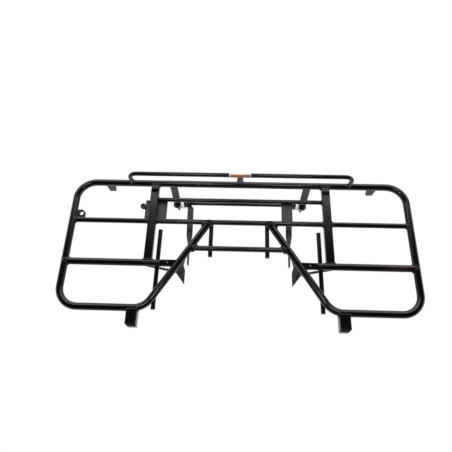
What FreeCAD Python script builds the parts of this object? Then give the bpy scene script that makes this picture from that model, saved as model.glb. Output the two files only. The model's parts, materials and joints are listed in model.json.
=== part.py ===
"""Rear luggage rack for a quad bike: welded steel tube deck on two rear legs and two stays.

Millimetres. X across the vehicle, +Y to its rear, +Z up. The origin lies midway between the
two frame bolt holes, on the underside of the mount plates.
"""
import os
import re
import math
import FreeCAD
import Part
import Sketcher

doc = FreeCAD.newDocument("rear_rack")
Vector = FreeCAD.Vector

# Sizes
sheet = doc.addObject("Spreadsheet::Sheet", "sizes")
sizes = [
    ("main_tube", 20, "outer diameter of the bent deck tube and of the front cross tubes"),
    ("cross_tube", 15, "outer diameter of the middle, centre and stay cross tubes"),
    ("rod", 12.7, "diameter of the rods and of the raised rail"),
    ("brace_rod", 8, "diameter of the two braces"),
    ("side_rail_x", 490, "centre of the side rails"),
    ("deck_z", 142, "centre of the deck tubes above the mount plates"),
    ("rear_rail_y", 197.7, "centre of the rear rail"),
    ("mid_rail_y", 72, "centre of the middle cross tube"),
    ("centre_rail_y", -9.5, "centre of the short tube between the diagonals"),
    ("low_rail_y", -55.8, "centre of the front cross tubes"),
    ("front_rail_y", -183.5, "centre of the front rails"),
    ("bend", 55, "centre line radius of the deck tube bends"),
    ("diagonal_back_x", 88.4, "diagonal at the middle cross tube"),
    ("diagonal_front_x", 252.2, "diagonal where its line meets the front rail"),
    ("mouth", 2, "how far a tube end stops short of the centre of the tube it is coped to"),
    ("box_x", 254.8, "centre of the box rails"),
    ("box_width", 24, "width of the box rails"),
    ("box_height", 15, "height of the box rails"),
    ("box_edge", 1.5, "broken edges of the box rails"),
    ("tie_rod_y", 143.5, "centre of the tie rod between the box rails"),
    ("flat_start_x", 222, "front cross tube starts to flatten"),
    ("flat_thick", 8, "thickness of the flattened end"),
    ("drain_x", 198, "drain hole in the flattened end"),
    ("drain_hole", 5, "diameter of the drain hole"),
    ("outer_rod_x", 230.3, "centre of the outer rods"),
    ("outer_rod_back_y", 51, "back end of the outer rods"),
    ("outer_rod_front_y", -183.8, "front end of the outer rods"),
    ("inner_rod_x", 81.4, "centre of the inner rods"),
    ("inner_rod_back", 6, "inner rods reach this far behind the middle cross tube"),
    ("inner_rod_front_y", -29.2, "front end of the inner rods"),
    ("weld_gap", 0.1, "gap that a weld fills between a rod and the tube over it"),
    ("inner_gap", 0.5, "gap that a weld fills over the inner rods"),
    ("seat", 0.8, "depth of the flat under the stay tube"),
    ("raised_x", 326.5, "centre of the ends of the raised rail"),
    ("raised_rise", 57, "raised rail above the rear rail, centre to centre"),
    ("raised_bend", 24, "centre line radius of the raised rail"),
    ("post_top", 15, "width of the middle post at the top"),
    ("post_foot", 22, "width of the middle post at the foot"),
    ("post_thick", 6, "thickness of the middle post"),
    ("stub_x", 282, "centre of the front stubs"),
    ("stub_width", 30, "width of the front stubs"),
    ("stub_height", 25, "height of the front stubs"),
    ("stub_drop", 4, "centre of the stubs below the deck tubes"),
    ("stub_reach", 50.5, "stubs reach this far in front of the front rail"),
    ("stub_bevel", 7, "bevels of the stub ends"),
    ("stub_edge", 2, "broken long edges of the stubs"),
    ("tab_thick", 4, "thickness of the tabs and of the strap steel"),
    ("tab_inner_x", 379.5, "inner top corner of the rear tabs"),
    ("tab_top", 33, "width of the rear tabs at the top"),
    ("tab_slant", 10, "inner slant of the rear tabs"),
    ("tab_taper", 3.5, "outer slant of the rear tabs"),
    ("tab_drop", 49.5, "rear tabs reach this far below the rear rail centre"),
    ("leg_x", 203, "centre of the rear legs"),
    ("leg_width", 22, "width of the rear legs"),
    ("leg_thick", 5, "thickness of the rear legs"),
    ("leg_lean", 8, "rear legs lean forward by this much"),
    ("foot_reach", 24, "foot of a leg in front of its back face"),
    ("foot_corner", 7, "cut corners of the feet"),
    ("foot_z", 33, "top of the foot plates"),
    ("foot_plate_set", 2.5, "front edge of the foot plates behind the feet"),
    ("foot_outer_x", 207, "outer edge of the foot plates"),
    ("bolt", 8, "thread diameter of the foot bolts"),
    ("bolt_play", 1, "foot bolt holes wider than the bolts"),
    ("bolt_x", 199, "centre of the foot bolts"),
    ("bolt_set", 14, "foot bolts in front of the back of the foot"),
    ("bolt_end_z", 7, "lower end of the foot bolts"),
    ("hex_flats", 13, "bolt heads across flats"),
    ("head_height", 5.3, "height of the bolt heads"),
    ("stay_tube_back", 12.5, "stay tube in front of the rear rail"),
    ("stay_tube_end_x", 181, "ends of the stay tube"),
    ("stay_x", 158.5, "centre of the stays"),
    ("stay_width", 19, "width of the stays"),
    ("stay_corner", 7, "cut back corner of a stay"),
    ("stay_knee", 14, "length of the level part of a stay in front of the foot plate"),
    ("stay_land_y", 44, "stay comes down on the mount plate"),
    ("stay_neck_y", 82, "stay starts to narrow"),
    ("stay_tip", 6, "width of the narrow end of a stay"),
    ("stay_tip_y", -19, "front end of a stay"),
    ("hole_x", 180, "centre of the frame bolt holes"),
    ("frame_hole", 9, "diameter of the frame bolt holes"),
    ("plate_inner", 14, "inner edge of the mount plates from the frame bolt holes"),
    ("plate_outer", 16, "outer edge of the mount plates from the frame bolt holes"),
    ("plate_heel", 28, "back corner of the mount plates from the frame bolt holes"),
    ("plate_notch", 6, "depth of the notch in the inner edge of the mount plates"),
    ("plate_back_y", 46, "back edge of the mount plates"),
    ("plate_heel_y", 31, "heel of the mount plates ends here"),
    ("plate_waist_y", 10, "mount plate steps in here"),
    ("plate_shoulder_y", -8, "outer edge of the mount plates starts here"),
    ("plate_side_y", -38, "mount plate starts to run to its tip"),
    ("plate_front_y", -77.5, "tip of the mount plates"),
    ("brace_top_x", 287, "upper end of the braces"),
    ("brace_foot_x", 181, "lower end of the braces"),
    ("brace_foot_y", -40, "lower end of the braces"),
    ("flag_x", 455, "inner edge of the flag tab"),
    ("flag_reach", 32, "flag tab behind the middle cross tube"),
    ("flag_hole", 11, "diameter of the flag hole"),
    ("flag_hole_set", 11, "flag hole from the inner edge of the tab"),
    ("flag_hole_back", 20, "flag hole behind the middle cross tube"),
    ("flag_corner", 9, "rounded corner of the flag tab"),
    ("sheet_thick", 3, "thickness of the two bracket sheets"),
    ("wide_sheet_x", 281, "outer edge of the wide bracket sheet"),
    ("wide_sheet", 65, "width of the wide bracket sheet"),
    ("narrow_sheet_x", 124, "inner edge of the narrow bracket sheet"),
    ("narrow_sheet", 32, "width of the narrow bracket sheet"),
    ("ear_back", 50, "ear of the wide sheet behind the middle cross tube"),
    ("ear_reach", 6, "centre of the ear outside the sheet"),
    ("ear", 16, "width of the ear"),
]
for row, (alias, number, meaning) in enumerate(sizes, start=1):
    sheet.set("A%d" % row, meaning)
    sheet.set("B%d" % row, str(number))
    sheet.setAlias("B%d" % row, alias)
doc.recompute()


def full(text):
    """Put the sheet name in front of every size in a formula."""
    return re.sub(r"\b[a-z_]+\b(?!\()", r"sizes.\g<0>", text)


def value(text):
    """Number that a formula gives now, used to draw a sketch near its solution."""
    return float(sheet.evalExpression(full(text)))


def bind(thing, **formulas):
    """Give properties their formulas."""
    for name, text in formulas.items():
        thing.setExpression(name, full(text))


def place(thing, x, y, z):
    thing.setExpression("Placement.Base.x", full(x))
    thing.setExpression("Placement.Base.y", full(y))
    thing.setExpression("Placement.Base.z", full(z))


def rod_along(axis, name, diameter, start, length, x, y, z):
    """Round bar along one axis. The formula of that axis is where it starts."""
    bar = doc.addObject("Part::Cylinder", name)
    bind(bar, Radius="( " + diameter + " ) / 2", Height=length)
    turns = {"x": (Vector(0, 1, 0), 90), "y": (Vector(1, 0, 0), -90), "z": (Vector(0, 0, 1), 0)}
    bar.Placement.Rotation = FreeCAD.Rotation(*turns[axis])
    at = {"x": x, "y": y, "z": z}
    at[axis] = start
    place(bar, at["x"], at["y"], at["z"])
    return bar


def block(name, x, y, z, length, width, height):
    box = doc.addObject("Part::Box", name)
    bind(box, Length=length, Width=width, Height=height)
    place(box, x, y, z)
    return box


def cut(name, base, *tools):
    """Base with every tool taken away. The last cut carries the name."""
    for count, tool in enumerate(tools, start=1):
        last = count == len(tools)
        result = doc.addObject("Part::Cut", name if last else name + "_cut%d" % count)
        result.Base = base
        result.Tool = tool
        base = result
    return base


def fuse(name, *pieces):
    result = doc.addObject("Part::MultiFuse", name)
    result.Shapes = list(pieces)
    return result


def mirror(name, source):
    """The same piece on the other side of the rack."""
    twin = doc.addObject("Part::Mirroring", name)
    twin.Source = source
    twin.Base = Vector(0, 0, 0)
    twin.Normal = Vector(1, 0, 0)
    return twin


def plane_of(body, role):
    return [plane for plane in body.Origin.OriginFeatures if plane.Role == role][0]


def sketch_in(body, role, name):
    sketch = body.newObject("Sketcher::SketchObject", name)
    sketch.AttachmentSupport = [(plane_of(body, role), "")]
    sketch.MapMode = "FlatFace"
    return sketch


def pin(sketch, line, end, tag, x, y):
    """Hold one end of a line at two formulas."""
    for kind, letter, text in (("DistanceX", "x", x), ("DistanceY", "y", y)):
        number = sketch.addConstraint(Sketcher.Constraint(kind, -1, 1, line, end, value(text)))
        sketch.renameConstraint(number, tag + letter)
        sketch.setExpression("Constraints." + tag + letter, full(text))


def outline(sketch, corners):
    """Closed outline of straight edges, every corner held by its formulas."""
    points = [Vector(value(x), value(y), 0) for x, y in corners]
    lines = []
    for start, end in zip(points, points[1:] + points[:1]):
        lines.append(sketch.addGeometry(Part.LineSegment(start, end), False))
    for line, after in zip(lines, lines[1:] + lines[:1]):
        sketch.addConstraint(Sketcher.Constraint("Coincident", line, 2, after, 1))
    for count, (line, (x, y)) in enumerate(zip(lines, corners)):
        pin(sketch, line, 1, "corner%d" % count, x, y)


def bent_path(sketch, corners, radius):
    """Open path through the corners, with the same radius at every bend."""
    points = [Vector(value(x), value(y), 0) for x, y in corners]
    guides = []
    for start, end in zip(points[:-1], points[1:]):
        guides.append(sketch.addGeometry(Part.LineSegment(start, end), True))
    for count, (x, y) in enumerate(corners):
        if count < len(guides):
            pin(sketch, guides[count], 1, "corner%d" % count, x, y)
        else:
            pin(sketch, guides[-1], 2, "corner%d" % count, x, y)
    for guide, after in zip(guides[:-1], guides[1:]):
        sketch.addConstraint(Sketcher.Constraint("Coincident", guide, 2, after, 1))
    size = value(radius)
    starts = [points[0]]
    ends = []
    arcs = []
    for before, corner, after in zip(points[:-2], points[1:-1], points[2:]):
        back = (before - corner).normalize()
        ahead = (after - corner).normalize()
        half = back.getAngle(ahead) / 2
        first = corner + back * (size / math.tan(half))
        second = corner + ahead * (size / math.tan(half))
        middle = corner + (back + ahead).normalize() * (size / math.sin(half))
        left_turn = back.cross(ahead).z < 0
        low, high = (first, second) if left_turn else (second, first)
        low_angle = math.atan2(low.y - middle.y, low.x - middle.x)
        high_angle = math.atan2(high.y - middle.y, high.x - middle.x)
        circle = Part.Circle(middle, Vector(0, 0, 1), size)
        arcs.append((Part.ArcOfCircle(circle, low_angle, high_angle), left_turn))
        ends.append(first)
        starts.append(second)
    ends.append(points[-1])
    lines = []
    turns = []
    for count, (start, end) in enumerate(zip(starts, ends)):
        lines.append(sketch.addGeometry(Part.LineSegment(start, end), False))
        if count < len(arcs):
            turns.append(sketch.addGeometry(arcs[count][0], False))
    sketch.addConstraint(Sketcher.Constraint("Coincident", lines[0], 1, guides[0], 1))
    sketch.addConstraint(Sketcher.Constraint("Coincident", lines[-1], 2, guides[-1], 2))
    for count, turn in enumerate(turns):
        enter, leave = (1, 2) if arcs[count][1] else (2, 1)
        sketch.addConstraint(Sketcher.Constraint("Tangent", lines[count], 2, turn, enter))
        sketch.addConstraint(Sketcher.Constraint("Tangent", turn, leave, lines[count + 1], 1))
        sketch.addConstraint(Sketcher.Constraint("PointOnObject", lines[count], 2, guides[count]))
        sketch.addConstraint(Sketcher.Constraint("PointOnObject", lines[count + 1], 1, guides[count + 1]))
        number = sketch.addConstraint(Sketcher.Constraint("Radius", turn, size))
        sketch.renameConstraint(number, "bend%d" % count)
        sketch.setExpression("Constraints.bend%d" % count, full(radius))


def bent_tube(name, role, corners, radius, diameter):
    """Tube that follows a bent path in one plane of its own body."""
    body = doc.addObject("PartDesign::Body", name)
    path = sketch_in(body, role, name + "_path")
    bent_path(path, corners, radius)
    doc.recompute()
    ring = body.newObject("Sketcher::SketchObject", name + "_section")
    ring.AttachmentSupport = [(path, "Edge1")]
    ring.MapMode = "NormalToEdge"
    ring.MapPathParameter = 0
    ring.addGeometry(Part.Circle(Vector(0, 0, 0), Vector(0, 0, 1), value(diameter) / 2), False)
    ring.addConstraint(Sketcher.Constraint("Coincident", 0, 3, -1, 1))
    number = ring.addConstraint(Sketcher.Constraint("Radius", 0, value(diameter) / 2))
    ring.renameConstraint(number, "size")
    ring.setExpression("Constraints.size", full(diameter + " / 2"))
    doc.recompute()
    pipe = body.newObject("PartDesign::AdditivePipe", name + "_pipe")
    pipe.Profile = ring
    pipe.Spine = (path, [])
    body.Tip = pipe
    return body


def plate(name, role, corners, thickness, both_ways=False):
    """Flat piece with a straight-edged outline in one plane of its own body."""
    body = doc.addObject("PartDesign::Body", name)
    shape = sketch_in(body, role, name + "_outline")
    outline(shape, corners)
    pad = body.newObject("PartDesign::Pad", name + "_pad")
    pad.Profile = shape
    pad.setExpression("Length", full(thickness))
    pad.Midplane = both_ways
    body.Tip = pad
    return body


nodes = []


def keep(*things):
    nodes.extend(things)


# Deck tube: one bent tube from the left diagonal round the rack to the right diagonal
deck = bent_tube(
    "deck_bar",
    "XY_Plane",
    [
        ("0 - diagonal_back_x", "mid_rail_y - mouth"),
        ("0 - diagonal_front_x", "front_rail_y"),
        ("0 - side_rail_x", "front_rail_y"),
        ("0 - side_rail_x", "rear_rail_y"),
        ("side_rail_x", "rear_rail_y"),
        ("side_rail_x", "front_rail_y"),
        ("diagonal_front_x", "front_rail_y"),
        ("diagonal_back_x", "mid_rail_y - mouth"),
    ],
    "bend",
    "main_tube",
)
deck.setExpression("Placement.Base.z", full("deck_z"))

# Middle cross tube: three lengths, butted to the box rails and coped to the side rails
mid_centre = rod_along("x", "mid_tube_centre", "cross_tube", "box_width / 2 - box_x",
                       "2 * box_x - box_width", "", "mid_rail_y", "deck_z")
deck_tube = cut("deck_tube", deck, mid_centre)
mid_side = rod_along("x", "mid_side_bar", "cross_tube", "box_x + box_width / 2",
                     "side_rail_x - mouth - box_x - box_width / 2", "", "mid_rail_y", "deck_z")
mid_right = cut("mid_tube_right", mid_side, deck)
mid_left = mirror("mid_tube_left", mid_right)
keep(deck_tube, mid_centre, mid_right, mid_left)

# Centre tube: short tube coped between the two diagonals
reach = "diagonal_back_x + ( diagonal_front_x - diagonal_back_x ) * "
reach += "( mid_rail_y - centre_rail_y ) / ( mid_rail_y - front_rail_y )"
centre_bar = rod_along("x", "centre_bar", "cross_tube", "0 - ( " + reach + " )",
                       "2 * ( " + reach + " )", "", "centre_rail_y", "deck_z")
centre_tube = cut("centre_tube", centre_bar, deck)
keep(centre_tube)

# Front cross tubes: round from the side rail, inner end pressed flat on to the diagonal
flat_reach = "diagonal_back_x + ( diagonal_front_x - diagonal_back_x ) * "
flat_reach += "( mid_rail_y - low_rail_y ) / ( mid_rail_y - front_rail_y )"
low_bar = rod_along("x", "low_bar", "main_tube", flat_reach, "side_rail_x - mouth - ( " + flat_reach + " )",
                    "", "low_rail_y", "deck_z")
low_press = plate(
    "low_press",
    "XZ_Plane",
    [
        (flat_reach, "flat_thick / 2"),
        (flat_reach, "0 - flat_thick / 2"),
        ("flat_start_x", "0 - main_tube / 2"),
        ("side_rail_x", "0 - main_tube / 2"),
        ("side_rail_x", "main_tube / 2"),
        ("flat_start_x", "main_tube / 2"),
    ],
    "main_tube",
    True,
)
place(low_press, "0", "low_rail_y", "deck_z")
low_shape = doc.addObject("Part::Common", "low_shape")
low_shape.Base = low_bar
low_shape.Tool = low_press
drain = rod_along("z", "low_drain", "drain_hole", "deck_z - main_tube", "2 * main_tube",
                  "drain_x", "low_rail_y", "")
low_right = cut("low_tube_right", low_shape, deck, drain)
low_left = mirror("low_tube_left", low_right)
keep(low_right, low_left)

# Box rails: rectangular tube between the rear rail and the front cross tubes
box_bar = block("box_bar", "box_x - box_width / 2", "low_rail_y + mouth", "deck_z - box_height / 2",
                "box_width", "rear_rail_y - low_rail_y - 2 * mouth", "box_height")
doc.recompute()
box_round = doc.addObject("Part::Chamfer", "box_round")
box_round.Base = box_bar
edges = []
for count, edge in enumerate(box_bar.Shape.Edges, start=1):
    if abs(edge.tangentAt(edge.FirstParameter).y) > 0.9:
        edges.append((count, value("box_edge"), value("box_edge")))
box_round.Edges = edges
box_right = cut("box_rail_right", box_round, deck, low_bar)
box_left = mirror("box_rail_left", box_right)
keep(box_right, box_left)

# Tie rod between the box rails, level with the underside of the middle cross tube
tie_rod = rod_along("x", "tie_rod", "rod", "box_width / 2 - box_x", "2 * box_x - box_width", "",
                    "tie_rod_y", "deck_z - cross_tube / 2 + rod / 2")
keep(tie_rod)

# Outer rods: welded under the front cross tube and the diagonal, both ends free
under_deck = "deck_z - main_tube / 2 - rod / 2 - weld_gap"
outer_right = rod_along("y", "outer_rod_right", "rod", "outer_rod_front_y",
                        "outer_rod_back_y - outer_rod_front_y", "outer_rod_x", "", under_deck)
outer_left = mirror("outer_rod_left", outer_right)
keep(outer_right, outer_left)

# Inner rods: welded under the middle cross tube and the centre tube, beside the diagonals
inner_right = rod_along("y", "inner_rod_right", "rod", "inner_rod_front_y",
                        "mid_rail_y + inner_rod_back - inner_rod_front_y", "inner_rod_x", "",
                        "deck_z - cross_tube / 2 - rod / 2 - inner_gap")
inner_left = mirror("inner_rod_left", inner_right)
keep(inner_right, inner_left)

# Raised rail along the back, and its middle post
raised_bar = bent_tube(
    "raised_bar",
    "XZ_Plane",
    [
        ("0 - raised_x", "0"),
        ("0 - raised_x", "raised_rise"),
        ("raised_x", "raised_rise"),
        ("raised_x", "0"),
    ],
    "raised_bend",
    "rod",
)
place(raised_bar, "0", "rear_rail_y", "deck_z")
raised_rail = cut("raised_rail", raised_bar, deck)
raised_post = plate(
    "raised_post",
    "XZ_Plane",
    [
        ("0 - post_top / 2", "raised_rise - rod / 2"),
        ("0 - post_foot / 2", "main_tube / 2"),
        ("post_foot / 2", "main_tube / 2"),
        ("post_top / 2", "raised_rise - rod / 2"),
    ],
    "post_thick",
    True,
)
place(raised_post, "0", "rear_rail_y", "deck_z")
keep(raised_rail, raised_post)

# Front stubs: bevelled box ends welded to the front of the front rails
stub_front = "front_rail_y - stub_reach"
stub_plan = plate(
    "stub_plan",
    "XY_Plane",
    [
        ("stub_x - stub_width / 2", "front_rail_y - mouth"),
        ("stub_x - stub_width / 2", stub_front),
        ("stub_x + stub_width / 2 - stub_bevel", stub_front),
        ("stub_x + stub_width / 2", stub_front + " + stub_bevel"),
        ("stub_x + stub_width / 2", "front_rail_y - mouth"),
    ],
    "stub_height",
    True,
)
stub_plan.setExpression("Placement.Base.z", full("deck_z - stub_drop"))
stub_side = plate(
    "stub_side",
    "YZ_Plane",
    [
        ("front_rail_y", "0 - stub_height / 2"),
        (stub_front, "0 - stub_height / 2"),
        (stub_front, "stub_height / 2 - stub_bevel"),
        (stub_front + " + stub_bevel", "stub_height / 2"),
        ("front_rail_y", "stub_height / 2"),
    ],
    "stub_width",
    True,
)
place(stub_side, "stub_x", "0", "deck_z - stub_drop")
stub_block = doc.addObject("Part::Common", "stub_block")
stub_block.Base = stub_plan
stub_block.Tool = stub_side
doc.recompute()
stub_round = doc.addObject("Part::Chamfer", "stub_round")
stub_round.Base = stub_block
edges = []
for count, edge in enumerate(stub_block.Shape.Edges, start=1):
    if edge.Length > value("stub_reach") / 2 and abs(edge.tangentAt(edge.FirstParameter).y) > 0.9:
        edges.append((count, value("stub_edge"), value("stub_edge")))
stub_round.Edges = edges
front_line = rod_along("x", "front_line", "main_tube", "stub_x - stub_width", "2 * stub_width", "",
                       "front_rail_y", "deck_z")
stub_right = cut("front_stub_right", stub_round, front_line)
stub_left = mirror("front_stub_left", stub_right)
keep(stub_right, stub_left)

# Rear tabs: tapered plates hanging from the rear rail
tab_plate = plate(
    "tab_plate",
    "XZ_Plane",
    [
        ("tab_inner_x", "0"),
        ("tab_inner_x + tab_slant", "0 - tab_drop"),
        ("tab_inner_x + tab_top - tab_taper", "0 - tab_drop"),
        ("tab_inner_x + tab_top", "0"),
    ],
    "tab_thick",
    True,
)
place(tab_plate, "0", "rear_rail_y", "deck_z")
tab_right = cut("rear_tab_right", tab_plate, deck)
tab_left = mirror("rear_tab_left", tab_right)
keep(tab_right, tab_left)

# Rear legs: flat bar, coped to the rear rail, with a foot bent forward at the bottom
foot_back = "rear_rail_y - leg_lean + leg_thick / 2"
leg_bar = plate(
    "leg_bar",
    "YZ_Plane",
    [
        ("rear_rail_y - leg_thick / 2", "deck_z"),
        (foot_back + " - leg_thick", "foot_z + leg_thick"),
        (foot_back + " - foot_reach", "foot_z + leg_thick"),
        (foot_back + " - foot_reach", "foot_z"),
        (foot_back, "foot_z"),
        ("rear_rail_y + leg_thick / 2", "deck_z"),
    ],
    "leg_width",
    True,
)
leg_bar.setExpression("Placement.Base.x", full("leg_x"))
bolt_y = foot_back + " - bolt_set"
bolt_gap = rod_along("z", "bolt_gap", "bolt + bolt_play", "0", "deck_z / 2", "bolt_x", bolt_y, "")
doc.recompute()
leg_round = doc.addObject("Part::Chamfer", "leg_round")
leg_round.Base = leg_bar
edges = []
for count, edge in enumerate(leg_bar.Shape.Edges, start=1):
    upright = abs(edge.tangentAt(edge.FirstParameter).z) > 0.99 and edge.Length < 2 * value("leg_thick")
    if upright and edge.CenterOfMass.y < value("rear_rail_y") - value("foot_reach"):
        edges.append((count, value("foot_corner"), value("foot_corner")))
leg_round.Edges = edges
leg_right = cut("rear_leg_right", leg_round, deck, bolt_gap)
leg_left = mirror("rear_leg_left", leg_right)
keep(leg_right, leg_left)

# Foot plates under the legs
plate_front = foot_back + " - foot_reach + foot_plate_set"
stay_edge = "stay_x + stay_width / 2"
foot_plate = block("foot_plate", stay_edge, plate_front, "foot_z - tab_thick",
                   "foot_outer_x - ( " + stay_edge + " )", "foot_reach - foot_plate_set", "tab_thick")
foot_right = cut("foot_plate_right", foot_plate, bolt_gap)
foot_plates = doc.addObject("Part::Compound", "foot_plates")
foot_plates.Links = [foot_right, mirror("foot_plate_left", foot_right)]
keep(foot_plates)


# Foot bolts: heads on the feet, ends pointing down through the foot plates
head = doc.addObject("Part::Prism", "bolt_head")
head.Polygon = 6
bind(head, Circumradius="hex_flats / sqrt(3)", Height="head_height")
place(head, "bolt_x", bolt_y, "foot_z + leg_thick")
shank = rod_along("z", "bolt_shank", "bolt", "bolt_end_z", "foot_z + leg_thick - bolt_end_z",
                  "bolt_x", bolt_y, "")
bolt_right = fuse("bolt_right", head, shank)
bolts = doc.addObject("Part::Compound", "foot_bolts")
bolts.Links = [bolt_right, mirror("bolt_left", bolt_right)]
keep(bolts)

# Stays: strap from beside the foot plate down to the mount plate, ending in a narrow tongue
stay_side = plate(
    "stay_side",
    "YZ_Plane",
    [
        (foot_back, "foot_z"),
        (plate_front + " - stay_knee", "foot_z"),
        ("stay_land_y", "2 * tab_thick"),
        ("stay_tip_y", "2 * tab_thick"),
        ("stay_tip_y", "tab_thick"),
        ("stay_land_y", "tab_thick"),
        (plate_front + " - stay_knee", "foot_z - tab_thick"),
        (foot_back, "foot_z - tab_thick"),
    ],
    "stay_width",
    True,
)
stay_side.setExpression("Placement.Base.x", full("stay_x"))
stay_plan = plate(
    "stay_plan",
    "XY_Plane",
    [
        ("stay_x - stay_width / 2 + stay_corner", foot_back),
        ("stay_x - stay_width / 2 + stay_corner", plate_front + " + stay_corner"),
        ("stay_x - stay_width / 2", plate_front),
        ("stay_x - stay_width / 2", "stay_neck_y"),
        ("stay_x - stay_tip / 2", "stay_land_y"),
        ("stay_x - stay_tip / 2", "stay_tip_y"),
        ("stay_x + stay_tip / 2", "stay_tip_y + stay_tip"),
        ("stay_x + stay_tip / 2", "stay_land_y"),
        (stay_edge, "stay_neck_y"),
        (stay_edge, foot_back),
    ],
    "foot_z",
)
stay_right = doc.addObject("Part::Common", "stay_right")
stay_right.Base = stay_side
stay_right.Tool = stay_plan
stay_left = mirror("stay_left", stay_right)
keep(stay_right, stay_left)

# Stay tube across the two stays and the ends of the foot plates
stay_tube_bar = rod_along("x", "stay_tube_bar", "cross_tube", "0 - stay_tube_end_x", "2 * stay_tube_end_x",
                          "", "rear_rail_y - stay_tube_back", "foot_z + cross_tube / 2 - seat")
stay_tube = cut("stay_tube", stay_tube_bar, foot_plates, stay_right, stay_left)
keep(stay_tube)

# Mount plates: pointed plates under the stays, with the frame bolt holes
mount_blank = plate(
    "mount_blank",
    "XY_Plane",
    [
        ("hole_x - plate_heel", "plate_back_y"),
        ("hole_x - plate_heel", "plate_heel_y"),
        ("hole_x - plate_inner", "plate_waist_y"),
        ("hole_x - plate_inner + plate_notch", "plate_waist_y - plate_notch * 4"),
        ("hole_x - plate_inner", "plate_waist_y - plate_notch * 7"),
        ("hole_x - plate_inner", "plate_front_y"),
        ("hole_x + plate_outer", "plate_side_y"),
        ("hole_x + plate_outer", "plate_shoulder_y"),
        ("hole_x - plate_inner", "plate_back_y"),
    ],
    "tab_thick",
)
frame_bore = rod_along("z", "frame_bore", "frame_hole", "0 - tab_thick", "3 * tab_thick", "hole_x", "0", "")
mount_right = cut("mount_plate_right", mount_blank, frame_bore)
mount_left = mirror("mount_plate_left", mount_right)
keep(mount_right, mount_left)

# Braces: straight rods from under the front cross tubes to the mount plates
brace_line = doc.addObject("Part::Line", "brace_line")
bind(brace_line, X1="brace_top_x", Y1="low_rail_y", Z1="deck_z - main_tube / 4")
bind(brace_line, X2="brace_foot_x", Y2="brace_foot_y", Z2="tab_thick * 3 / 4")
doc.recompute()
brace_bar = doc.addObject("Part::Cylinder", "brace_bar")
brace_bar.AttachmentSupport = [(brace_line, "Edge1")]
brace_bar.MapMode = "NormalToEdge"
brace_bar.MapPathParameter = 0
brace_bar.MapReversed = True
span = "sqrt(( brace_top_x - brace_foot_x ) ^ 2 + ( low_rail_y - brace_foot_y ) ^ 2"
span += " + ( deck_z - main_tube / 4 - tab_thick * 3 / 4 ) ^ 2)"
bind(brace_bar, Radius="brace_rod / 2", Height=span)
brace_right = cut("brace_right", brace_bar, low_bar, mount_blank)
brace_left = mirror("brace_left", brace_right)
keep(brace_right, brace_left)

# Flag tab in the corner of the left side rail and the middle cross tube
flag_plate = plate(
    "flag_plate",
    "XY_Plane",
    [
        ("main_tube / 2 - side_rail_x", "mid_rail_y + cross_tube / 2"),
        ("0 - flag_x", "mid_rail_y + cross_tube / 2"),
        ("0 - flag_x", "mid_rail_y + flag_reach - flag_corner"),
        ("0 - flag_x - flag_corner", "mid_rail_y + flag_reach"),
        ("main_tube / 2 - side_rail_x", "mid_rail_y + flag_reach"),
    ],
    "tab_thick",
    True,
)
flag_plate.setExpression("Placement.Base.z", full("deck_z"))
flag_bore = rod_along("z", "flag_bore", "flag_hole", "deck_z - tab_thick", "2 * tab_thick",
                      "0 - flag_x - flag_hole_set", "mid_rail_y + flag_hole_back", "")
flag_tab = cut("flag_tab", flag_plate, flag_bore)
keep(flag_tab)

# Bracket sheets under the tie rod and the middle cross tube, the wide one with a rounded ear
sheet_z = "deck_z - cross_tube / 2 - sheet_thick"
wide_blank = block("wide_blank", "0 - wide_sheet_x", "mid_rail_y", sheet_z,
                   "wide_sheet", "tie_rod_y - mid_rail_y", "sheet_thick")
ear_round = rod_along("z", "ear_round", "ear", sheet_z, "sheet_thick",
                      "0 - wide_sheet_x - ear_reach", "mid_rail_y + ear_back", "")
ear_neck = block("ear_neck", "0 - wide_sheet_x - ear_reach", "mid_rail_y + ear_back - ear / 2", sheet_z,
                 "ear_reach + ear", "ear", "sheet_thick")
wide_sheet = fuse("bracket_sheet_left", wide_blank, ear_round, ear_neck)
narrow_sheet = block("bracket_sheet_right", "narrow_sheet_x", "mid_rail_y", sheet_z,
                     "narrow_sheet", "tie_rod_y - mid_rail_y", "sheet_thick")
keep(wide_sheet, narrow_sheet)

doc.recompute()

# Check every object, then write one file for each piece
for thing in doc.Objects:
    if "Invalid" in thing.State or "Error" in thing.State:
        raise RuntimeError("not built: " + thing.Label)
os.makedirs("parts", exist_ok=True)
for node in nodes:
    if node.Shape.isNull() or not node.Shape.isValid() or node.Shape.Volume <= 0:
        raise RuntimeError("bad shape: " + node.Label)
    node.Shape.exportStep("parts/" + node.Label + ".step")
    print(node.Label, len(node.Shape.Solids), round(node.Shape.Volume, 1))
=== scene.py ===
import json
import math

import bpy
from mathutils import Matrix, Vector


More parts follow.
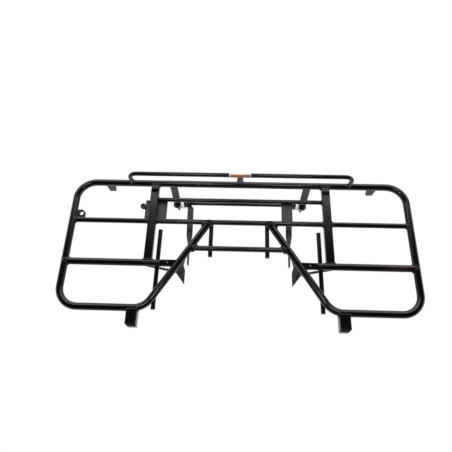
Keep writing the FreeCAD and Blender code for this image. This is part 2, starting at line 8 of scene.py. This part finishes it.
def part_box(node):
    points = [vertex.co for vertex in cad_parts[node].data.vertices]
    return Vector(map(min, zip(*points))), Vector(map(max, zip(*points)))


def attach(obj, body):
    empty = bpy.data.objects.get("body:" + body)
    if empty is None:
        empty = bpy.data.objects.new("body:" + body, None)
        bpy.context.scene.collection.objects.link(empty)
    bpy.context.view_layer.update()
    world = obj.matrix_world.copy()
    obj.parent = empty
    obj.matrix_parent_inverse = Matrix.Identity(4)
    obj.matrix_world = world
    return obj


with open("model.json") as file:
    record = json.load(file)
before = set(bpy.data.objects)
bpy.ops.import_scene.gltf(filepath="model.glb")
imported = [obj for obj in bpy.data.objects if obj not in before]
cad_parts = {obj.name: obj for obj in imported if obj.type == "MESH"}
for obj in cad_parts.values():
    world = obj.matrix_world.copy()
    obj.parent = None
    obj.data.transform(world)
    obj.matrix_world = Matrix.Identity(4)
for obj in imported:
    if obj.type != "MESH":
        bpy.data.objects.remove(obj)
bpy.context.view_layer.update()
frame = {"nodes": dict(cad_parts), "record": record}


# Tubes and rods: steel stock cut, bent and coped to fit, then welded into one rack. The whole rack is
# coated last, with black powder paint that is baked on. At one joint rust has browned the coat.
def srgb(code):
    """The linear colour of an sRGB hex code."""
    parts = [int(code[i : i + 2], 16) / 255 for i in (1, 3, 5)]
    linear = [c / 12.92 if c <= 0.04045 else ((c + 0.055) / 1.055) ** 2.4 for c in parts]
    return (*linear, 1.0)


def node(tree, kind, inputs=None, **settings):
    """Add a node with its settings. An input that is given a socket is linked, else it is set."""
    made = tree.nodes.new(kind)
    for name, setting in settings.items():
        setattr(made, name, setting)
    for name, given in (inputs or {}).items():
        if isinstance(given, bpy.types.NodeSocket):
            tree.links.new(given, made.inputs[name])
        else:
            made.inputs[name].default_value = given
    return made.outputs


def coated_steel(name, colour, roughness, grain_mm, grain_height, metallic=0.0):
    """Paint or plate on steel with a fine grain in its skin, dulled by dust in soft patches."""
    paint_ior = 1.4
    dust_mm = 60
    clean, dusty = 0.35, 0.7
    dust_dulls = 0.04
    grain_share = 0.06
    made = bpy.data.materials.new(name)
    made.use_nodes = True
    tree = made.node_tree
    place = node(tree, "ShaderNodeTexCoord")["Object"]
    in_mm = node(tree, "ShaderNodeMapping", {"Vector": place, "Scale": (1000, 1000, 1000)})["Vector"]
    dust = node(
        tree,
        "ShaderNodeTexNoise",
        {"Vector": in_mm, "Scale": 1 / dust_mm, "Detail": 4.0, "Roughness": 0.6},
    )["Fac"]
    dull = node(
        tree,
        "ShaderNodeMapRange",
        {
            "Value": dust,
            "From Min": clean,
            "From Max": dusty,
            "To Min": roughness,
            "To Max": roughness + dust_dulls,
        },
    )["Result"]
    grain = node(tree, "ShaderNodeTexNoise", {"Vector": in_mm, "Scale": 1 / grain_mm, "Detail": 2.0})["Fac"]
    skin = node(
        tree,
        "ShaderNodeBump",
        {"Height": grain, "Strength": grain_share, "Distance": grain_height},
    )["Normal"]
    shader = tree.nodes["Principled BSDF"].inputs
    shader["Base Color"].default_value = srgb(colour)
    if metallic:
        shader["Metallic"].default_value = metallic
    else:
        shader["IOR"].default_value = paint_ior
    tree.links.new(dull, shader["Roughness"])
    tree.links.new(skin, shader["Normal"])
    return made


def finish_slot(slot, material):
    """Give every CAD node of a slot its finish."""
    for part in frame["record"]["subparts"]:
        if part["material_slot"] == slot:
            mesh = frame["nodes"][part["node"]].data
            mesh.materials.clear()
            mesh.materials.append(material)


# Gloss black powder coat: deep black that draws lamps as thin streaks along round tube. Its orange
# peel has waves of 1 to 2 mm, drawn at 4 mm because finer ones are lost between the pixels.
black = "#0a0a0b"
gloss_black = coated_steel("gloss black powder coat", black, 0.13, 4.0, 0.00002)

# Rust under the coat: a warm brown tint near the right end of the front cross tube, fading outwards.
rust_brown = "#33211a"
rust_place = (0.44, -0.056, 0.148)
rust_full = 0.015
rust_edge = 0.05
tree = gloss_black.node_tree
place = node(tree, "ShaderNodeTexCoord")["Object"]
away = node(tree, "ShaderNodeVectorMath", {0: place, 1: rust_place}, operation="DISTANCE")["Value"]
rust = node(
    tree,
    "ShaderNodeMapRange",
    {"Value": away, "From Min": rust_full, "From Max": rust_edge, "To Min": 1.0, "To Max": 0.0},
)["Result"]
# Inputs 6 and 7 of a Mix node are its two colours, and output 2 is the mixed one.
tint = node(tree, "ShaderNodeMix", {0: rust, 6: srgb(black), 7: srgb(rust_brown)}, data_type="RGBA")[2]
tree.links.new(tint, tree.nodes["Principled BSDF"].inputs["Base Color"])
finish_slot("tube", gloss_black)


# Weld beads: filler steel that a torch lays where two pieces meet, as a row of overlapping ripples.
# They lie under the paint. Each bead is a ring swept along the line where the pieces touch.
ripple_pitch = 0.0028
ripple_depth = 0.5
points_per_ripple = 4.0
thinnest_bead = 0.4
uneven_every = 0.00625
weld_tree = bpy.data.node_groups.new("weld bead", "GeometryNodeTree")
weld_tree.is_modifier = True
weld_tree.interface.new_socket("Geometry", in_out="INPUT", socket_type="NodeSocketGeometry")
for name in ("Bead Radius", "Ripple Pitch", "Ripple Depth"):
    weld_tree.interface.new_socket(name, in_out="INPUT", socket_type="NodeSocketFloat")
weld_tree.interface.new_socket("Geometry", in_out="OUTPUT", socket_type="NodeSocketGeometry")
given = node(weld_tree, "NodeGroupInput")
pitch = given["Ripple Pitch"]
step = node(weld_tree, "ShaderNodeMath", {0: pitch, 1: points_per_ripple}, operation="DIVIDE")[0]
even = node(
    weld_tree, "GeometryNodeResampleCurve", {"Curve": given["Geometry"], "Length": step}, mode="LENGTH"
)["Curve"]
run = node(weld_tree, "GeometryNodeSplineParameter")["Length"]
turn = node(weld_tree, "ShaderNodeMath", {0: run, 1: pitch}, operation="DIVIDE")[0]
wave = node(weld_tree, "ShaderNodeMath", {0: turn, 1: 0.5}, operation="PINGPONG")[0]
spot = node(weld_tree, "GeometryNodeInputPosition")["Position"]
uneven = node(
    weld_tree, "ShaderNodeTexNoise", {"Vector": spot, "Scale": 1 / uneven_every, "Detail": 1.0}
)["Fac"]
swell = node(
    weld_tree, "ShaderNodeMath", {0: wave, 1: given["Ripple Depth"], 2: uneven}, operation="MULTIPLY_ADD"
)[0]
share = node(weld_tree, "ShaderNodeMath", {0: swell, 1: thinnest_bead}, operation="ADD")[0]
thick = node(weld_tree, "ShaderNodeMath", {0: share, 1: given["Bead Radius"]}, operation="MULTIPLY")[0]
round_bead = node(weld_tree, "GeometryNodeCurvePrimitiveCircle", {"Resolution": 10, "Radius": 1.0})["Curve"]
swept = node(
    weld_tree,
    "GeometryNodeCurveToMesh",
    {"Curve": even, "Profile Curve": round_bead, "Scale": thick, "Fill Caps": True},
)["Mesh"]
smooth = node(weld_tree, "GeometryNodeSetShadeSmooth", {"Geometry": swept})["Geometry"]
real = node(weld_tree, "GeometryNodeRealizeInstances", {"Geometry": smooth})["Geometry"]
painted = node(weld_tree, "GeometryNodeSetMaterial", {"Geometry": real, "Material": gloss_black})["Geometry"]
node(weld_tree, "NodeGroupOutput", {"Geometry": painted})


def weld(name, loops=(), lines=(), bead=0.0021):
    """Lay beads along closed loops and open lines, as one plain mesh on the rack."""
    path = bpy.data.curves.new(name, "CURVE")
    path.dimensions = "3D"
    for closed, points in [(True, p) for p in loops] + [(False, p) for p in lines]:
        spline = path.splines.new("POLY")
        spline.points.add(len(points) - 1)
        for point, where in zip(spline.points, points):
            point.co = (*where, 1)
        spline.use_cyclic_u = closed
    guide = bpy.data.objects.new(name + "_path", path)
    bpy.context.collection.objects.link(guide)
    modifier = guide.modifiers.new("bead", "NODES")
    modifier.node_group = weld_tree
    sockets = weld_tree.interface.items_tree
    sizes = {"Bead Radius": bead, "Ripple Pitch": ripple_pitch, "Ripple Depth": ripple_depth}
    for socket, size in sizes.items():
        modifier[sockets[socket].identifier] = size
    graph = bpy.context.evaluated_depsgraph_get()
    mesh = bpy.data.meshes.new_from_object(guide.evaluated_get(graph))
    bpy.data.objects.remove(guide)
    beads = bpy.data.objects.new(name, mesh)
    bpy.context.collection.objects.link(beads)
    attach(beads, "root")


# Deck tube: one length of 20 mm steel tube, bent round the whole rack. Its two ends run in as
# diagonals and are coped to the middle cross tube, where the weld is built up in two passes.
def cope(start, along, radius, rail, rail_along, rail_radius):
    """The loop where a round tube from start, running along, first meets a round rail."""
    points_round = 48
    start, along, rail, rail_along = (Vector(v) for v in (start, along, rail, rail_along))
    along.normalize()
    rail_along.normalize()
    side = along.orthogonal().normalized()
    other = along.cross(side)
    across_rail = along - rail_along * along.dot(rail_along)
    loop = []
    for i in range(points_round):
        angle = math.tau * i / points_round
        point = start + (side * math.cos(angle) + other * math.sin(angle)) * radius
        away = point - rail
        away -= rail_along * away.dot(rail_along)
        half = away.dot(across_rail) / across_rail.length_squared
        under = half * half - (away.length_squared - rail_radius**2) / across_rail.length_squared
        loop.append(point + along * (-half - math.sqrt(max(under, 0))))
    return loop


main_r = 0.010
diagonal_front_x = 0.2522
diagonal_back_x = 0.0884
heavy_bead = 0.0036
diagonal_passes = (0, 0.004)
deck_low, deck_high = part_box("deck_tube")
deck_z = (deck_low.z + deck_high.z) / 2
side_x = deck_high.x - main_r
rear_y = deck_high.y - main_r
front_y = deck_low.y + main_r
mid_low, mid_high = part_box("mid_tube_centre")
mid_y = (mid_low.y + mid_high.y) / 2
cross_r = (mid_high.z - mid_low.z) / 2
diagonals = {}
for side in (-1, 1):
    foot = Vector((side * diagonal_front_x, front_y, deck_z))
    top = Vector((side * diagonal_back_x, mid_y, deck_z))
    diagonals[side] = (foot, top - foot)
loops = []
for foot, along in diagonals.values():
    for spread in diagonal_passes:
        loops.append(cope(foot, along, main_r, (0, mid_y, deck_z), (1, 0, 0), cross_r + spread))
weld("diagonal_welds", loops, bead=heavy_bead)


# Cross tubes: 15 mm steel tube behind and between the diagonals, 20 mm tube in front of them. Ends are
# coped to round tube or butted against a box rail and welded all round, in two passes on the short
# centre tube. The inner ends of the front tubes are pressed flat.
def ring(x, y, z, radius):
    """The loop where a round tube across the rack meets a flat side."""
    points_round = 32
    angles = [math.tau * i / points_round for i in range(points_round)]
    return [(x, y + radius * math.cos(a), z + radius * math.sin(a)) for a in angles]


outer_bay_x = 0.35
centre_passes = (0, 0.0035)
centre_low, centre_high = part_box("centre_tube")
centre_y = (centre_low.y + centre_high.y) / 2
low_low, low_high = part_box("low_tube_right")
low_y = (low_low.y + low_high.y) / 2
box_low, box_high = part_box("box_rail_right")
loops = []
centre_loops = []
for side in (-1, 1):
    out = (side, 0, 0)
    rail = (side * side_x, 0, deck_z)
    foot, along = diagonals[side]
    for y, radius in ((mid_y, cross_r), (low_y, main_r)):
        loops.append(cope((side * outer_bay_x, y, deck_z), out, radius, rail, (0, 1, 0), main_r))
    for spread in centre_passes:
        centre_loops.append(cope((0, centre_y, deck_z), out, cross_r, foot, along, main_r + spread))
    for x in (box_low.x, box_high.x):
        loops.append(ring(side * x, mid_y, deck_z, cross_r))
weld("cross_tube_welds", loops, bead=0.0028)
weld("centre_tube_welds", centre_loops, bead=heavy_bead)


# Box rails: rectangular steel tube laid flat from the rear rail to the front cross tubes. Each end is
# hollowed to sit against the round tube and welded round.
def box_end(x, rail_y, towards):
    """The loop where a box rail sits against a round tube."""
    points_per_side = 8
    half_width = (box_high.x - box_low.x) / 2
    half_height = (box_high.z - box_low.z) / 2
    corners = [
        (-half_width, half_height),
        (half_width, half_height),
        (half_width, -half_height),
        (-half_width, -half_height),
    ]
    loop = []
    for (x0, z0), (x1, z1) in zip(corners, corners[1:] + corners[:1]):
        for i in range(points_per_side):
            dx = x0 + (x1 - x0) * i / points_per_side
            dz = z0 + (z1 - z0) * i / points_per_side
            loop.append((x + dx, rail_y + towards * math.sqrt(main_r**2 - dz**2), deck_z + dz))
    return loop


box_x = (box_low.x + box_high.x) / 2
loops = []
for side in (-1, 1):
    loops.append(box_end(side * box_x, rear_y, -1))
    loops.append(box_end(side * box_x, low_y, 1))
weld("box_rail_welds", loops, bead=0.0024)


# Rods: 12.7 mm steel bar. The tie rod butts against the box rails and is welded round. The other four
# hang under the tubes they cross and are tacked on both sides of each crossing.
tack_half = 0.006
tack_side = 0.0042
tack_sink = 0.0016
tie_low, tie_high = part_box("tie_rod")
rod_r = (tie_high.z - tie_low.z) / 2
tie_y = (tie_low.y + tie_high.y) / 2
tie_z = (tie_low.z + tie_high.z) / 2
loops = [ring(x, tie_y, tie_z, rod_r) for x in (tie_low.x, tie_high.x)]
lines = []
for side, hand in ((-1, "left"), (1, "right")):
    outer_low, outer_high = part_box("outer_rod_" + hand)
    inner_low, inner_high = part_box("inner_rod_" + hand)
    outer_x = (outer_low.x + outer_high.x) / 2
    inner_x = (inner_low.x + inner_high.x) / 2
    foot, along = diagonals[side]
    diagonal_y = foot.y + along.y * (outer_x - foot.x) / along.x
    for x, y, top_z in (
        (outer_x, low_y, outer_high.z),
        (outer_x, diagonal_y, outer_high.z),
        (inner_x, mid_y, inner_high.z),
        (inner_x, centre_y, inner_high.z),
    ):
        tack_z = top_z - tack_sink
        for tack_x in (x - tack_side, x + tack_side):
            lines.append([(tack_x, y - tack_half, tack_z), (tack_x, y + tack_half, tack_z)])
weld("rod_welds", loops, lines)


# Raised rail: a 12.7 mm bar bent down at both ends to stand on the rear rail, with a post of flat
# steel under its middle. The ends are welded all round and the post along its front and back.
def across(x0, x1, y, z):
    """A straight seam across the rack."""
    return [(x0, y, z), (x1, y, z)]


over_rail = 0.05
post_top_half = 0.0075
post_foot_drop = 0.0003
post_top_lift = 0.0005
_, raised_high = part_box("raised_rail")
post_low, post_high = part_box("raised_post")
loops = []
for side in (-1, 1):
    start = (side * (raised_high.x - rod_r), rear_y, deck_z + over_rail)
    loops.append(cope(start, (0, 0, -1), rod_r, (0, rear_y, deck_z), (1, 0, 0), main_r))
lines = []
for y in (post_low.y, post_high.y):
    lines.append(across(post_low.x, post_high.x, y, post_low.z - post_foot_drop))
    lines.append(across(-post_top_half, post_top_half, y, post_high.z + post_top_lift))
weld("raised_rail_welds", loops, lines)


# Label: two layers of vinyl film wrapped round the middle of the raised rail and held by their own
# glue, a white band and an orange panel on its front half. Each is a thin closed shell.
film = 0.00013
arc_steps = 24
bar_z = raised_high.z - rod_r
for shade, colour, start_x, stop_x, first, last, lift in (
    ("white", "#f4f0ee", -0.0325, 0.031, -35, 150, 0.00015),
    ("orange", "#d98a5a", -0.0275, 0.0285, -30, 78, 0.0003),
):
    # Vinyl film: one flat colour with a soft sheen.
    vinyl = bpy.data.materials.new(shade + " vinyl")
    vinyl.use_nodes = True
    shader = vinyl.node_tree.nodes["Principled BSDF"].inputs
    shader["Base Color"].default_value = srgb(colour)
    shader["Roughness"].default_value = 0.35
    outside_r = rod_r + lift
    section = []
    for r, from_angle, to_angle in ((outside_r, first, last), (outside_r - film, last, first)):
        for i in range(arc_steps + 1):
            angle = math.radians(from_angle + (to_angle - from_angle) * i / arc_steps)
            section.append((rear_y - r * math.cos(angle), bar_z + r * math.sin(angle)))
    count = len(section)
    points = [(x, y, z) for x in (start_x, stop_x) for y, z in section]
    faces = [(i, i + count, (i + 1) % count + count, (i + 1) % count) for i in range(count)]
    faces += [tuple(range(count)), tuple(reversed(range(count, 2 * count)))]
    mesh = bpy.data.meshes.new(shade + " vinyl")
    mesh.from_pydata(points, [], faces)
    mesh.materials.append(vinyl)
    curved = [i < count and i % (arc_steps + 1) < arc_steps for i in range(len(faces))]
    mesh.polygons.foreach_set("use_smooth", curved)
    label = bpy.data.objects.new(shade + "_label", mesh)
    bpy.context.collection.objects.link(label)
    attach(label, "root")


# Brackets: legs, tabs, stays, mount plates and small sheets, cut and bent from flat steel. They, the
# box stubs and the flag tab are welded along the edges that touch the tubes.

# Satin black powder coat: a dusty dark grey with no sharp streaks. Its sand grain of about 0.5 mm is
# drawn at 2 mm so that it can show.
satin_black = coated_steel("satin black powder coat", "#3b3b3a", 0.38, 2.0, 0.00003)
finish_slot("brackets", satin_black)

stub_seam_heights = [-0.0095, -0.007, -0.004, 0, 0.004, 0.007]
seat_half = 0.0025
seat_drop = 0.0004
seat_z = deck_z - math.sqrt(main_r**2 - seat_half**2) - seat_drop
stay_seam_front = 0.0055
stay_seam_inner = 0.0025
stay_seam_outer = 0.0095
stay_seam_lift = 0.0012
stay_tube_low, stay_tube_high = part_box("stay_tube")
stay_seam_y = (stay_tube_low.y + stay_tube_high.y) / 2 - stay_seam_front
plate_seam_half = 0.003
plate_seam_front = 0.014
plate_seam_back = 0.003
plate_seam_lift = 0.0004
lines = []
for side, hand in ((-1, "left"), (1, "right")):
    stub_low, stub_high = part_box("front_stub_" + hand)
    heights = stub_seam_heights + [stub_high.z - deck_z]
    edge = [(front_y - math.sqrt(main_r**2 - h**2), deck_z + h) for h in heights]
    up_one_side = [(stub_low.x, y, z) for y, z in edge]
    down_the_other = [(stub_high.x, y, z) for y, z in reversed(edge)]
    lines.append(up_one_side + down_the_other)
    for flat in ("rear_leg_", "rear_tab_"):
        flat_low, flat_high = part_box(flat + hand)
        for y in (rear_y - seat_half, rear_y + seat_half):
            lines.append(across(flat_low.x, flat_high.x, y, seat_z))
    stay_low, stay_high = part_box("stay_" + hand)
    stay_x = (stay_low.x + stay_high.x) / 2
    seam_ends = (stay_x - stay_seam_inner, stay_x + side * stay_seam_outer)
    lines.append(across(*seam_ends, stay_seam_y, stay_high.z + stay_seam_lift))
    _, plate_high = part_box("mount_plate_" + hand)
    front, back = plate_high.y - plate_seam_front, plate_high.y - plate_seam_back
    for x in (stay_x - plate_seam_half, stay_x + plate_seam_half):
        lines.append([(x, y, plate_high.z + plate_seam_lift) for y in (front, back)])

sheet_corner = 0.004
sheet_seam_lift = 0.0008
tie_seam_y = tie_y - 0.0036
mid_seam_y = mid_y + 0.0042
for hand, ear_width in (("left", 0.014), ("right", 0)):
    sheet_low, sheet_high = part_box("bracket_sheet_" + hand)
    seam_ends = (sheet_low.x + sheet_corner + ear_width, sheet_high.x - sheet_corner)
    for y in (tie_seam_y, mid_seam_y):
        lines.append(across(*seam_ends, y, sheet_high.z + sheet_seam_lift))

flag_low, flag_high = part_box("flag_tab")
flag_y = mid_y + cross_r
lines.append(across(flag_low.x, flag_high.x, flag_y, flag_high.z))
lines.append([(flag_low.x, y, flag_high.z) for y in (flag_y, flag_high.y)])
weld("bracket_welds", lines=lines, bead=0.0019)


# Foot bolts: two M8 hexagon bolts of steel, forged and threaded, that clamp the bent feet to their
# backing plates.

# Black zinc plate: a dark metal that is nearly as black as the paint but has a greyer, softer shine.
# The fine marks of forging are drawn at 1 mm.
black_zinc = coated_steel("black zinc plate", "#28282a", 0.3, 1.0, 0.00002, metallic=1.0)
finish_slot("fasteners", black_zinc)


# Foot plates: loose backing plates of flat steel between the feet and the stay tube, held by the
# bolts and never painted.

# Bright zinc plate: a pale grey metal that catches every lamp, the brightest spot under the deck. The
# waves of the rolled sheet are drawn at 3 mm.
bright_zinc = coated_steel("bright zinc plate", "#bcbcba", 0.3, 3.0, 0.00002, metallic=1.0)
finish_slot("zinc", bright_zinc)


# Boss: a round steel plug with a hollow middle, turned on a lathe and set on the ear of the wide
# bracket sheet. It has the same satin black coat as the sheet.
boss_sides = 32
boss_from_edge = 0.008
boss_y = 0.122
boss_profile = [
    (0.0032, 0.0015),
    (0.0036, 0.0075),
    (0.0062, 0.0085),
    (0.0080, 0.0072),
    (0.0085, 0.0050),
    (0.0085, 0),
]
ear_low, ear_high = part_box("bracket_sheet_left")
boss_x = ear_low.x + boss_from_edge
count = len(boss_profile)
points = []
faces = []
for i in range(boss_sides):
    angle = math.tau * i / boss_sides
    for r, height in boss_profile:
        points.append((boss_x + r * math.cos(angle), boss_y + r * math.sin(angle), ear_high.z + height))
    here, there = i * count, (i + 1) % boss_sides * count
    for j in range(count - 1):
        faces.append((here + j, here + j + 1, there + j + 1, there + j))
faces.append(tuple(i * count for i in range(boss_sides)))
faces.append(tuple(i * count + count - 1 for i in reversed(range(boss_sides))))
mesh = bpy.data.meshes.new("ear boss")
mesh.from_pydata(points, [], faces)
mesh.materials.append(satin_black)
mesh.polygons.foreach_set("use_smooth", [len(face) == 4 for face in faces])
boss = bpy.data.objects.new("ear_boss", mesh)
bpy.context.collection.objects.link(boss)
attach(boss, "root")


# Floor: a sweep of matt white paper well below the rack, which hangs free. The eye and the gloss paint
# see it as plain white, and the light that it throws back is that of grey paper.
def white_when_seen(tree, lit, white, output):
    """Show white to the eye, in gloss and through glass, and leave the light to the lit shader."""
    path = node(tree, "ShaderNodeLightPath")
    seen = path["Is Camera Ray"]
    for ray in ("Is Glossy Ray", "Is Transmission Ray"):
        seen = node(tree, "ShaderNodeMath", {0: seen, 1: path[ray]}, operation="MAXIMUM")[0]
    mixed = node(tree, "ShaderNodeMixShader", {"Fac": seen, 1: lit, 2: white})["Shader"]
    node(tree, output, {"Surface": mixed})


stage_size = 30
floor_z = -0.35
bpy.ops.mesh.primitive_plane_add(size=stage_size, location=(0, 0, floor_z))
floor = bpy.context.object
floor.name = "floor"
paper = bpy.data.materials.new("white paper sweep")
paper.use_nodes = True
tree = paper.node_tree
tree.nodes.clear()
matt = node(tree, "ShaderNodeBsdfDiffuse", {"Color": srgb("#c8c8c8")})["BSDF"]
white = node(tree, "ShaderNodeEmission", {"Color": srgb("#ffffff"), "Strength": 1.0})["Emission"]
white_when_seen(tree, matt, white, "ShaderNodeOutputMaterial")
floor.data.materials.append(paper)


# Ceiling: the dark, matt ceiling of the studio. It is out of the picture and keeps the tops of the
# tubes black where no lamp is mirrored.
ceiling_z = 2.8
bpy.ops.mesh.primitive_plane_add(size=stage_size, location=(0, 0, ceiling_z))
ceiling = bpy.context.object
ceiling.name = "ceiling"
ceiling.visible_camera = False
dark = bpy.data.materials.new("dark ceiling paint")
dark.use_nodes = True
shader = dark.node_tree.nodes["Principled BSDF"].inputs
shader["Base Color"].default_value = srgb("#1c1c1c")
shader["Roughness"].default_value = 0.9
ceiling.data.materials.append(dark)


# Studio: a white surround that gives off little light of its own, large lit panels behind and beside
# the rack for its soft sheen, and three lamps overhead for the streaks along the tubes.
world = bpy.data.worlds.new("studio")
bpy.context.scene.world = world
world.use_nodes = True
tree = world.node_tree
tree.nodes.clear()
dim = node(tree, "ShaderNodeBackground", {"Color": srgb("#ffffff"), "Strength": 0.03})["Background"]
white = node(tree, "ShaderNodeBackground", {"Color": srgb("#ffffff"), "Strength": 1.0})["Background"]
white_when_seen(tree, dim, white, "ShaderNodeOutputWorld")

# Each light has its place, what it points at, its width and length, and how bright its face looks.
for name, where, aim, (width, length), glow in (
    ("rear_wall", (0, 1.87, 1.421), (0, 0.02, 0.113), (4.2, 2.23), 2.8),
    ("rear_ceiling", (0, 1.134, 2.462), (0, -0.716, 1.154), (4.2, 0.32), 0.5),
    ("left_wall", (-2.6, 0.0, 0.7), (0, 0.0, 0.142), (2.4, 1.2), 0.8),
    ("right_wall", (2.6, 0.0, 0.7), (0, 0.0, 0.142), (2.4, 1.2), 0.8),
    ("left_lamp", (-0.345, -0.318, 2.0), (-0.503, -0.063, 0.142), (0.45, 0.18), 20),
    ("right_lamp", (0.345, -0.318, 2.0), (0.503, -0.063, 0.142), (0.45, 0.18), 20),
    ("front_lamp", (0.03, -0.74, 2.0), (0.03, 0, 0.142), (0.2, 0.5), 2.4),
):
    light = bpy.data.lights.new(name, "AREA")
    light.shape = "RECTANGLE"
    light.size = width
    light.size_y = length
    light.energy = glow * math.pi * width * length
    lamp = bpy.data.objects.new(name, light)
    bpy.context.collection.objects.link(lamp)
    lamp.location = where
    lamp.visible_camera = False
    lamp.rotation_euler = (Vector(aim) - Vector(where)).to_track_quat("-Z", "Y").to_euler()


# Camera: held above the front edge of the rack and looking down at it, a little turned and not quite
# level. The values come from fitting the flat deck to the photograph.
camera_place = (-0.00204, -0.42849, 1.25738)
camera_turn = math.radians(4.239)
camera_tilt = math.radians(23.762)
camera_roll = math.radians(-2.69)
camera = bpy.data.objects.new("camera", bpy.data.cameras.new("camera"))
bpy.context.collection.objects.link(camera)
camera.data.sensor_width = 36
camera.data.lens = 33.467
camera.matrix_world = (
    Matrix.Translation(camera_place)
    @ Matrix.Rotation(camera_turn, 4, "Z")
    @ Matrix.Rotation(camera_tilt, 4, "X")
    @ Matrix.Rotation(camera_roll, 4, "Z")
)
bpy.context.scene.camera = camera
bpy.context.scene.view_settings.view_transform = "Standard"
